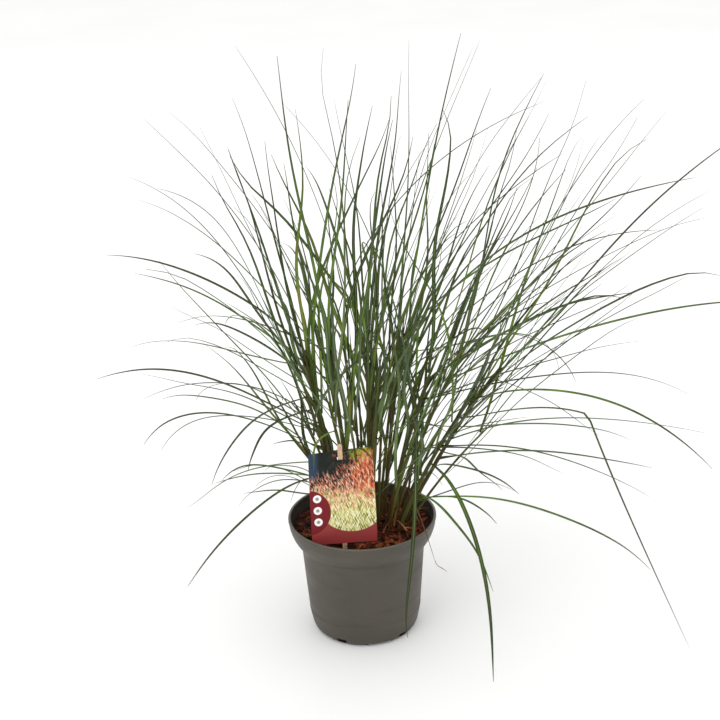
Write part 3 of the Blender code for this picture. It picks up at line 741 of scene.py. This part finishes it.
def make_mulch_bed(look):
    """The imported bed: a disc inset ring by ring and pressed into small hollows."""
    raised_disc([(MULCH_RADIUS - 0.0022, SOIL_TOP + GAP), (MULCH_RADIUS, MULCH_LEVEL)], 96)
    for _ in range(BED_RINGS):
        bpy.ops.mesh.inset(thickness=BED_RING_WIDTH, depth=0.0)
    bpy.ops.mesh.poke()
    face_outwards()
    bed = leave_edit("bark_bed")
    for vertex in bed.data.vertices:
        x, y, z = vertex.co
        if z > MULCH_LEVEL - 0.0005:
            vertex.co.z = mulch_height(x, y) + 0.0009 * noise.noise(
                Vector((x * 260, y * 260, 1.0)))
    settle(bed, 60)
    tint = bed.data.attributes.new("tint", "FLOAT", "POINT")
    tint.data.foreach_set("value", [0.35] * len(bed.data.vertices))
    hand_in(bed, look, "bark_mulch", "bark_mulch")


def shred_shapes():
    """Four torn strips of bark, each 1 long, 1 wide and 1 thick, tapered and ragged."""
    shapes = []
    for index in range(4):
        primitive(bpy.ops.mesh.primitive_cube_add, size=1.0)
        edit()
        pick_along(0, 0.9)
        bpy.ops.mesh.subdivide(number_cuts=3)
        pick("verts", lambda v: abs(v.co.x) > 0.45)
        bpy.ops.transform.resize(value=(1.0, 0.25 + 0.15 * index, 0.5),
                                 center_override=(0, 0, 0))
        bpy.ops.mesh.select_all(action="SELECT")
        bpy.ops.transform.vertex_random(offset=0.16, seed=index)
        shapes.append(taken_apart())
    return shapes


def taken_apart():
    """The edited shape's corner points and four-sided faces as arrays; it is removed."""
    shape = leave_edit("shape")
    points = np.array([vertex.co[:] for vertex in shape.data.vertices])
    faces = np.array([face.vertices[:] for face in shape.data.polygons])
    bpy.data.objects.remove(shape)
    return points, faces


def joined(name, copies, angle):
    """One mesh from copies of modelled shapes: (points, faces, leaf_place or None, tint)."""
    points = np.concatenate([copy[0] for copy in copies])
    counts = [len(copy[0]) for copy in copies]
    starts = np.concatenate([[0], np.cumsum(counts)[:-1]])
    faces = np.concatenate([copy[1] + start for copy, start in zip(copies, starts)])
    mesh = bpy.data.meshes.new(name)
    mesh.from_pydata(points.tolist(), [], faces.tolist())
    mesh.validate()
    tint = mesh.attributes.new("tint", "FLOAT", "POINT")
    tint.data.foreach_set("value", np.repeat([copy[3] for copy in copies], counts))
    if copies[0][2] is not None:
        place = mesh.attributes.new("leaf_place", "FLOAT_VECTOR", "POINT")
        place.data.foreach_set("vector", np.concatenate([copy[2] for copy in copies]).ravel())
    piece = bpy.data.objects.new(name, mesh)
    bpy.context.scene.collection.objects.link(piece)
    return settle(piece, angle)


def make_shreds(look):
    """Loose shreds of bark that lie every way on the bed."""
    draw = random.Random(41)
    shapes = shred_shapes()
    copies = []
    while len(copies) < SHRED_COUNT:
        radius = MULCH_RADIUS * math.sqrt(draw.random())
        length = draw.uniform(0.006, 0.025) * (0.7 if draw.random() < 0.4 else 1.0)
        if radius + length * 0.42 > MULCH_RADIUS:
            continue
        bearing = draw.uniform(0, math.tau)
        x, y = radius * math.cos(bearing), radius * math.sin(bearing)
        # None lies under the card.
        if abs(x - CARD_FOOT.x) < 0.010 and -0.078 < y < CARD_FOOT.y:
            continue
        size = (length, draw.uniform(0.0014, 0.0048), draw.uniform(0.0006, 0.0018))
        points, faces = draw.choice(shapes)
        lift = draw.uniform(0.0003, 0.0038)
        turn = (Matrix.Rotation(draw.uniform(0, math.tau), 3, "Z")
                @ Matrix.Rotation(draw.gauss(0, 0.20), 3, "Y")
                @ Matrix.Rotation(draw.gauss(0, 0.5), 3, "X"))
        bow = draw.uniform(-0.10, 0.16) * length
        shaped = points * size
        shaped[:, 2] -= bow * (2 * points[:, 0]) ** 2 * 0.5
        placed = shaped @ np.array(turn).T + (x, y, mulch_height(x, y) + lift)
        copies.append((placed, faces, None, draw.uniform(0.15, 1.0)))
    hand_in(joined("bark_shreds", copies, 35), look, "bark_mulch")


# ---------------------------------------------------------------- label

def card_frame():
    """Axes of the label card, with the origin at the middle of its lower edge."""
    turn = Matrix.Rotation(math.radians(CARD_TURN), 4, "Z")
    lean = Matrix.Rotation(math.radians(-CARD_LEAN), 4, "X")
    tilt = Matrix.Rotation(math.radians(CARD_TILT), 4, "Y")
    return Matrix.Translation(CARD_FOOT) @ turn @ lean @ tilt


def make_card(look):
    """The card is threaded on its stick, so it is pushed back above the slit, and it has
    taken a slight twist."""
    width, thickness, height = CARD_SIZE
    slit_height = height - SLIT_BELOW_TOP
    primitive(bpy.ops.mesh.primitive_cube_add, CARD_SIZE, size=1.0,
              location=(0, 0, height / 2))
    edit()
    pick_along(1, thickness / 2)
    bpy.ops.mesh.bevel(offset=0.0025, segments=4, affect="EDGES")
    card = leave_edit("label_card_printed")
    slit = primitive(bpy.ops.mesh.primitive_cube_add, SLIT_SIZE, size=1.0,
                     location=(0, 0, slit_height))
    combine(card, slit, "DIFFERENCE")
    # Even cuts across the card let it bend.
    activate(card)
    bpy.ops.object.mode_set(mode="EDIT")
    for index in range(1, CARD_CUTS):
        part = index / CARD_CUTS
        for place, across in (((0, 0, height * part), (0, 0, 1)),
                              ((width * (part - 0.5), 0, 0), (1, 0, 0))):
            bpy.ops.mesh.select_all(action="SELECT")
            bpy.ops.mesh.bisect(plane_co=place, plane_no=across)
    bpy.ops.object.mode_set(mode="OBJECT")
    mesh = card.data
    print_map = mesh.uv_layers[0]
    print_map.name = "print"
    for loop in mesh.loops:
        spot = mesh.vertices[loop.vertex_index].co
        print_map.data[loop.index].uv = (spot.x / width + 0.5, spot.z / height)
    place = card_frame()
    for vertex in mesh.vertices:
        x, y, z = vertex.co
        rise = z / height
        push = max(0.0, min(1.0, (z - slit_height + 0.0015) / 0.003))
        beside = math.exp(-(x / 0.010) ** 2)
        twisted = Matrix.Rotation(math.radians(CARD_TWIST * rise), 4, "Z")
        bowed = y + 0.0030 * push * beside - 0.0022 * (x / width * 2) ** 2 * rise
        vertex.co = place @ (twisted @ Vector((x, bowed, z)))
    settle(card, 35)
    hand_in(card, look, "label_card", "label_card")


def make_stick(look):
    """Flat stick with a rounded top and softened edges."""
    width, thickness = STICK_SIZE
    top, bottom = CARD_SIZE[2] + 0.0075, -0.062
    primitive(bpy.ops.mesh.primitive_cube_add, (width, thickness, top - bottom), size=1.0,
              location=(0, CARD_SIZE[1] / 2 + GAP + thickness / 2, (top + bottom) / 2))
    edit()
    pick_along(1, thickness / 2, above=top - 0.001)
    bpy.ops.mesh.bevel(offset=0.0026, segments=5, affect="EDGES")
    stick = leave_edit("label_stick")
    soften = stick.modifiers.new("soften", "BEVEL")
    soften.width = 0.0003
    soften.segments = 2
    soften.limit_method = "ANGLE"
    soften.angle_limit = math.radians(40)
    bpy.ops.object.modifier_apply(modifier=soften.name)
    edit()
    for _ in range(3):
        pick_along(2, 0.02)
        bpy.ops.mesh.subdivide(number_cuts=1)
    leave_edit("label_stick")
    place = card_frame() @ Matrix.Rotation(math.radians(CARD_TWIST * 0.5), 4, "Z")
    for vertex in stick.data.vertices:
        vertex.co = place @ vertex.co
    settle(stick, 40)
    hand_in(stick, look, "label_stake", "label_stake")


# ---------------------------------------------------------------- stems and leaves

def stem_point(spec, along):
    """Centre and direction of a stem at a part of its length, on an arc in one plane."""
    x, y, bearing, foot_lean, top_lean, length, _ = spec
    first = math.radians(foot_lean)
    bend = math.radians(top_lean - foot_lean)
    lean = first + bend * along
    reach = length * (math.cos(first) - math.cos(lean)) / bend
    rise = length * (math.sin(lean) - math.sin(first)) / bend
    centre = Vector((x, y, SOIL_TOP + GAP)) + direction(bearing) * reach + Vector((0, 0, rise))
    return centre, direction(bearing, 90 - math.degrees(lean))


def stem_radius(spec, along):
    return spec[6] * (1.0 + (STEM_TAPER - 1.0) * along)


def strip_shape(rows, columns):
    """A flat bar 1 long, cut into rows and columns, that every leaf of a kind is a copy of.
    Gives each corner's across, row and side, then the faces and the rows."""
    primitive(bpy.ops.mesh.primitive_cube_add, size=1.0, location=(0.0, 0.5, 0.0))
    edit()
    for axis, cuts in ((1, rows - 1), (0, columns - 1)):
        pick_along(axis, 0.9)
        bpy.ops.mesh.subdivide(number_cuts=cuts)
    # Both long edges and both ends come to nothing, as a leaf's do.
    pick("verts", lambda v: abs(v.co.x) > 0.49 or not 0.001 < v.co.y < 0.999)
    bpy.ops.transform.resize(value=(1.0, 1.0, 0.0), center_override=(0, 0, 0))
    bpy.ops.mesh.select_all(action="SELECT")
    bpy.ops.mesh.remove_doubles(threshold=0.0001)
    points, faces = taken_apart()
    row = np.rint(points[:, 1] * rows).astype(int)
    return points[:, 0] * 2, row, points[:, 2] + 0.5, faces, rows


def unit(vectors):
    return vectors / np.maximum(np.linalg.norm(vectors, axis=-1, keepdims=True), 1e-9)


def curve_points(curves, parts):
    """Points along one or more joined four-point curves."""
    places = parts * len(curves)
    index = np.minimum(places.astype(int), len(curves) - 1)
    part = (places - index)[:, None]
    one, two, three, four = np.moveaxis(np.array(curves)[index], 1, 0)
    rest = 1.0 - part
    return (one * rest ** 3 + two * 3 * part * rest ** 2 + three * 3 * part ** 2 * rest
            + four * part ** 3)


def laid(shape, spine, level, twist, half, thick, fold, curl):
    """Carry a strip along a spine.  Each row is turned about it by its twist in degrees, and
    both its halves rise from the keel by a fold, in a curl."""
    across, row, side = shape[:3]
    tangent = unit(np.gradient(spine, axis=0))
    wide = unit(level - tangent * (tangent @ level)[:, None])
    turn = np.radians(twist)[:, None]
    wide = wide * np.cos(turn) + np.cross(tangent, wide) * np.sin(turn)
    rise = fold * half[row] * np.abs(across) ** curl + (side - 0.5) * thick[row]
    return (spine[row] + wide[row] * (across * half[row])[:, None]
            + np.cross(wide, tangent)[row] * rise[:, None])


def leaf_foot(spec, stem):
    """Where a leaf leaves the side of its stem, how far from its middle, and its direction."""
    _, along, lead, *tip = spec[:6]
    centre, axis = stem_point(stem, along)
    away = Vector(tip) - centre
    side = (away - axis * away.dot(axis)).normalized()
    stand_off = stem_radius(stem, along) + GAP + LEAF_FOLD * spec[7] / 2 + 0.0008
    return centre + side * stand_off, side, stand_off, axis.slerp(away.normalized(), lead)


def leaf_curves(spec, foot, leaving, crease=None):
    """Four-point curves of a leaf: one, or two that meet at a crease."""
    tip = Vector(spec[3:6])
    bearing = math.degrees(math.atan2(tip.y - foot.y, tip.x - foot.x))
    arriving = direction(bearing, spec[6])
    stations = [(foot, leaving, leaving), (tip, arriving, arriving)]
    if crease:
        bend = Vector(crease[:3])
        stations.insert(1, (bend, direction(bearing, crease[3]), direction(bearing, crease[4])))
    curves = []
    for (start, _, out), (end, into, _) in zip(stations, stations[1:]):
        pull = (end - start).length * 0.36
        curves.append([start[:], (start + out * pull)[:], (end - into * pull)[:], end[:]])
    return curves


def grown_leaf(shape, spec, draw, crease=None, sheath=0.0, hook=0.0, sway=0.0):
    """Copy a strip along a leaf's curve: its sheath hugs the stem, then the blade opens,
    folds along its keel, twists and tapers to a thread."""
    across, row, side, faces, rows = shape
    stem = GROWN[spec[0]]
    width, twist = spec[7:]
    foot, out, stand_off, leaving = leaf_foot(spec, stem)
    curves = leaf_curves(spec, foot, leaving, crease)
    hugging = round(rows * SHEATH_SHARE) if sheath else 0
    parts = np.linspace(0.0, 1.0, rows + 1 - hugging)
    spine = curve_points(curves, parts)
    chord = spine[-1] - spine[0]
    level = unit(np.cross(chord, (0.0, 0.0, 1.0)))
    lift = unit(np.cross(level, chord))
    bends = np.sin(parts * math.pi * draw.uniform(1.2, 2.6) + draw.uniform(0, 6))
    swell = np.sin(parts * math.pi) * sway
    spine += (bends * swell)[:, None] * level + (
        np.cos(parts * 5 + draw.uniform(0, 6)) * swell * 0.6)[:, None] * lift
    late = np.clip((parts - 0.84) / 0.16, 0, 1) ** 2
    turned = draw.uniform(0, math.tau)
    spine += late[:, None] * hook * (level * math.cos(turned)
                                     + np.array((0, 0, 1.0)) * math.sin(turned))
    if hugging:
        start = max(spec[1] - sheath / stem[5], 0.02)
        lower = []
        for index in range(hugging):
            centre, _ = stem_point(stem, start + (spec[1] - start) * index / hugging)
            lower.append((centre + out * stand_off)[:])
        spine = np.concatenate([lower, spine])
    along = np.concatenate([np.zeros(hugging), parts])

    # An upright leaf runs out to a long thread, and an arching one keeps its width longer.
    narrowing = 2.2 if spec[6] > 35 else 4.0
    taper = np.minimum(1.0, 0.65 + 1.2 * along) * (1.0 - along ** narrowing)
    half = (0.0005 + (width - 0.0005) * taper) / 2
    thick = 0.00025 + 0.00045 * (1.0 - along)
    points = laid(shape, spine, level, twist * along, half, thick, LEAF_FOLD, 1.3)
    if hugging:
        opening = np.concatenate([np.ones(hugging), np.clip(1 - parts / 0.07, 0, 1)])
        opening = (opening * opening * (3 - 2 * opening))[row][:, None]
        _, axis = stem_point(stem, spec[1])
        beside = np.array(out.cross(axis).normalized())
        turn = (across * math.radians(105))[:, None]
        ring = stem_radius(stem, spec[1]) + GAP + 0.0004 * (1 - side)[:, None]
        hugged = spine[row] - np.array(out) * stand_off + ring * (
            np.array(out) * np.cos(turn) + beside * np.sin(turn))
        points = points * (1 - opening) + hugged * opening
    return points, faces, np.stack([across, along[row], 1.0 - side], axis=1)


def make_long_leaves(shape, look):
    """Each leaf of the frame, finely modelled, and the thinner ones between them."""
    draw = random.Random(7)
    for name, spec in {**FRAME_LEAVES, **THIN_LEAVES}.items():
        framed = name in FRAME_LEAVES
        points, faces, place = grown_leaf(
            shape, spec, draw, CREASES.get(name), sheath=draw.uniform(0.03, 0.06),
            hook=draw.uniform(0.0, 0.006), sway=0.002 if framed else 0.004)
        tint = LEAF_TINTS.get(name, draw.uniform(0.05, 0.72))
        leaf = joined("leaf_" + name, [(points, faces, place, tint)], 50)
        hand_in(leaf, look, "leaf_blade", *(["blade_" + name] if framed else []))


def fine_leaf_spec(name, spec, draw):
    """A random leaf of a stem: low ones lean out and arch over, high ones stand up."""
    along = draw.uniform(0.40, 1.0) if draw.random() < 0.85 else draw.uniform(0.12, 0.40)
    centre, _ = stem_point(spec, along)
    if draw.random() < 0.36:
        bearing = draw.uniform(-120, 120)
        chord_pitch = draw.uniform(32, 74)
    else:
        bearing = spec[2] + draw.gauss(0, 70 if spec[4] < 15 else 38)
        chord_pitch = 90 - spec[4] * 0.65 - abs(draw.gauss(0, 1)) * 26 - (1 - along) * 20
    droop = draw.uniform(0, 16) + max(0.0, 55 - chord_pitch) * 0.45
    length = draw.uniform(0.20, 0.50) * (0.72 + 0.28 * along)
    for _ in range(12):
        tip = centre + direction(bearing, chord_pitch) * length
        if all(low < value < high for low, value, high in zip(REACH_LOW, tip, REACH_HIGH)):
            break
        length *= 0.92
    lead = draw.uniform(0.45, 0.95)
    width = draw.uniform(0.0029, 0.0052)
    return (name, along, lead, *tip, chord_pitch - droop, width, draw.uniform(-60, 60))


def meets_card(points):
    """Whether any point of a leaf is in front of the label card or goes through it."""
    into = np.array(card_frame().inverted())
    across, back, up = (points @ into[:3, :3].T + into[:3, 3]).T
    return bool(np.any((np.abs(across) < CARD_SIZE[0] / 2 + 0.004) & (back < 0.010)
                       & (up > -0.02) & (up < CARD_SIZE[2] + 0.004)))


def make_fine_leaves(shape, look):
    """Leaves that fill the clump, joined stem by stem, with the label left clear."""
    for order, (name, spec) in enumerate(GROWN.items()):
        draw = random.Random(100 + order)
        copies = []
        on_left, on_right = FINE_ON_STEM if name in STEMS else FINE_ON_SHOOT
        while len(copies) < (on_left if spec[0] < 0 else on_right):
            leaf = fine_leaf_spec(name, spec, draw)
            points, faces, place = grown_leaf(shape, leaf, draw, hook=draw.uniform(0, 0.02),
                                              sway=0.006)
            in_opening = leaf[3] > OPENING_FROM and leaf[5] < OPENING_UNDER
            if not meets_card(points) and not in_opening:
                copies.append((points, faces, place, draw.random()))
        hand_in(joined("fine_leaves_" + name, copies, 50), look, "leaf_blade")


def stem_shape():
    """A rod 1 long that every stem is a copy of: (angle, row) of each corner, and faces."""
    primitive(bpy.ops.mesh.primitive_cylinder_add, vertices=STEM_SIDES, radius=1.0, depth=1.0,
              end_fill_type="NOTHING", location=(0, 0, 0.5))
    edit()
    pick_along(2, 0.9)
    bpy.ops.mesh.subdivide(number_cuts=STEM_ROWS - 1)
    points, faces = taken_apart()
    row = np.rint(points[:, 2] * STEM_ROWS).astype(int)
    return np.arctan2(points[:, 1], points[:, 0]), row, faces


def grown_stem(shape, spec, draw):
    """Copy the rod along a stem: each sheath is widest just above its joint and ends in a
    lip, the section is slightly oval, and the youngest leaf stands rolled at the top."""
    angle, row, faces = shape
    longest = 1.0 + draw.uniform(0.14, 0.30)
    parts = np.linspace(0.0, longest, STEM_ROWS + 1)
    centres, axes = zip(*(stem_point(spec, part) for part in parts))
    centres = np.array([centre[:] for centre in centres])
    axes = np.array([axis[:] for axis in axes])
    wide = unit(np.cross(axes, (0.0, 1.0, 0.0)))
    deep = np.cross(axes, wide) * 0.86
    joints = draw.uniform(4.2, 5.6)
    phase = (parts * joints + draw.random()) % 1.0
    swell = 1.0 + 0.16 * (1.0 - phase) ** 2 + 0.30 * np.exp(-(parts / 0.05) ** 2)
    spear = np.clip((longest - parts) / (longest - 0.93), 0.06, 1.0)
    radius = stem_radius(spec, np.minimum(parts, 1.0)) * swell * spear
    points = centres[row] + radius[row][:, None] * (
        wide[row] * np.cos(angle)[:, None] + deep[row] * np.sin(angle)[:, None])
    place = np.stack([angle / math.pi, parts[row] / longest, np.zeros(len(row))], axis=1)
    return points, faces, place, draw.random()


def make_stems(look):
    shape = stem_shape()
    for order, (name, spec) in enumerate(GROWN.items()):
        stem = joined("stem_" + name, [grown_stem(shape, spec, random.Random(300 + order))], 50)
        # The rod's two open ends are filled.
        edit()
        pick("edges", lambda e: e.is_boundary)
        bpy.ops.mesh.edge_face_add()
        face_outwards()
        bpy.ops.object.mode_set(mode="OBJECT")
        hand_in(stem, look, "tiller_sheath", *([name] if name in STEMS else []))


def make_dry_pieces(shape, look):
    across, row, side, faces, rows = shape
    draw = random.Random(55)
    copies = []
    curves = list(WITHERED)
    for *foot, bearing, pitch, droop, length, width in DRY_PIECES:
        foot = Vector(foot)
        tip = foot + direction(bearing, pitch - droop / 2) * length
        curves.append((foot, foot + direction(bearing, pitch) * length * 0.4,
                       tip - direction(bearing, pitch - droop) * length * 0.4, tip, width))
    parts = np.linspace(0, 1, rows + 1)
    for *curve, width in curves:
        spine = curve_points([[point[:] for point in curve]], parts)
        level = unit(np.cross(spine[-1] - spine[0], (0.0, 0.0, 1.0)))
        twist = draw.uniform(-70, 70) * parts + draw.uniform(-20, 20)
        half = (0.0003 + (width - 0.0003) * (1 - parts ** 3)) / 2
        points = laid(shape, spine, level, twist, half, np.full(rows + 1, 0.0004), 0.7, 1.5)
        place = np.stack([across, parts[row], 1.0 - side], axis=1)
        copies.append((points, faces, place, draw.random()))
    hand_in(joined("dry_leaves", copies, 50), look, "leaf_blade")


# ---------------------------------------------------------------- studio

def placed(name, data, turn, place):
    """Put a light or the camera into the scene, turned and at its place."""
    holder = bpy.data.objects.new(name, data)
    bpy.context.scene.collection.objects.link(holder)
    holder.matrix_world = Matrix.Translation(place) @ turn.to_4x4()
    return holder


def make_studio():
    floor = primitive(bpy.ops.mesh.primitive_plane_add, size=40.0)
    floor.name = "studio_floor"
    floor.data.materials.append(studio_floor())

    world = bpy.data.worlds.new("studio")
    world.use_nodes = True
    sky = world.node_tree.nodes["Background"].inputs
    sky["Color"].default_value = (1.0, 1.0, 1.0, 1.0)
    sky["Strength"].default_value = 1.04
    bpy.context.scene.world = world
    for name, place, size, power in (("key", (-1.3, -1.9, 2.6), 2.2, 22.0),
                                     ("fill", (1.9, -1.0, 1.6), 2.0, 4.0),
                                     ("back", (0.4, 2.2, 2.4), 2.4, 10.0)):
        lamp = bpy.data.lights.new(name, "AREA")
        lamp.energy = power
        lamp.size = size
        aim = Vector((0, 0, 0.35)) - Vector(place)
        placed(name, lamp, aim.to_track_quat("-Z", "Y").to_matrix(), Vector(place))


def make_camera():
    """Seen from the front, a little above, with a long lens and the slightest roll."""
    pitch, roll, distance = math.radians(22.5), math.radians(2.0), 2.0
    target = Vector((0.0042, 0.0, 0.3712))
    forward = Vector((0, math.cos(pitch), -math.sin(pitch)))
    level, upright = Vector((1, 0, 0)), Vector((0, math.sin(pitch), math.cos(pitch)))
    right = level * math.cos(roll) - upright * math.sin(roll)
    up = level * math.sin(roll) + upright * math.cos(roll)
    lens = bpy.data.cameras.new("camera")
    lens.lens = 81.05
    lens.sensor_width = 36.0
    turn = Matrix((right, up, -forward)).transposed()
    bpy.context.scene.camera = placed("camera", lens, turn, target - forward * distance)


def main():
    make_camera()
    make_studio()
    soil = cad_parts["root_ball"]
    soil.data.materials.clear()
    soil.data.materials.append(potting_soil())
    make_pot(pot_plastic())
    # The bed under the loose shreds is painted 0.6 of the way into shade, and the shreds get
    # none.
    make_mulch_bed(shredded_bark("packed_bark", 0.6))
    make_shreds(shredded_bark("torn_bark", 0.0))
    make_card(printed_card())
    make_stick(birch_stick())
    make_stems(stem_sheath())
    fresh = leaf_finish(
        "fresh_grass_leaf",
        [(0.0, "#182208"), (0.3, "#2a3a0f"), (0.58, "#425f18"), (0.85, "#6c8c2c"),
         (1.0, "#7d7a30")], "#5f6f55", "#8ba056", "#30361f", "#454319", 0.5)
    dry = leaf_finish(
        "dry_grass_leaf",
        [(0.0, "#5a3319"), (0.5, "#8a5a36"), (1.0, "#b07c4e")], "#93664a", "#a87a52",
        "#5d3d28", "#6b4022", 0.7)
    fine_strip = strip_shape(16, 2)
    make_long_leaves(strip_shape(44, 4), fresh)
    make_fine_leaves(fine_strip, fresh)
    make_dry_pieces(fine_strip, dry)


main()
bpy.context.scene.view_settings.view_transform = "Standard"
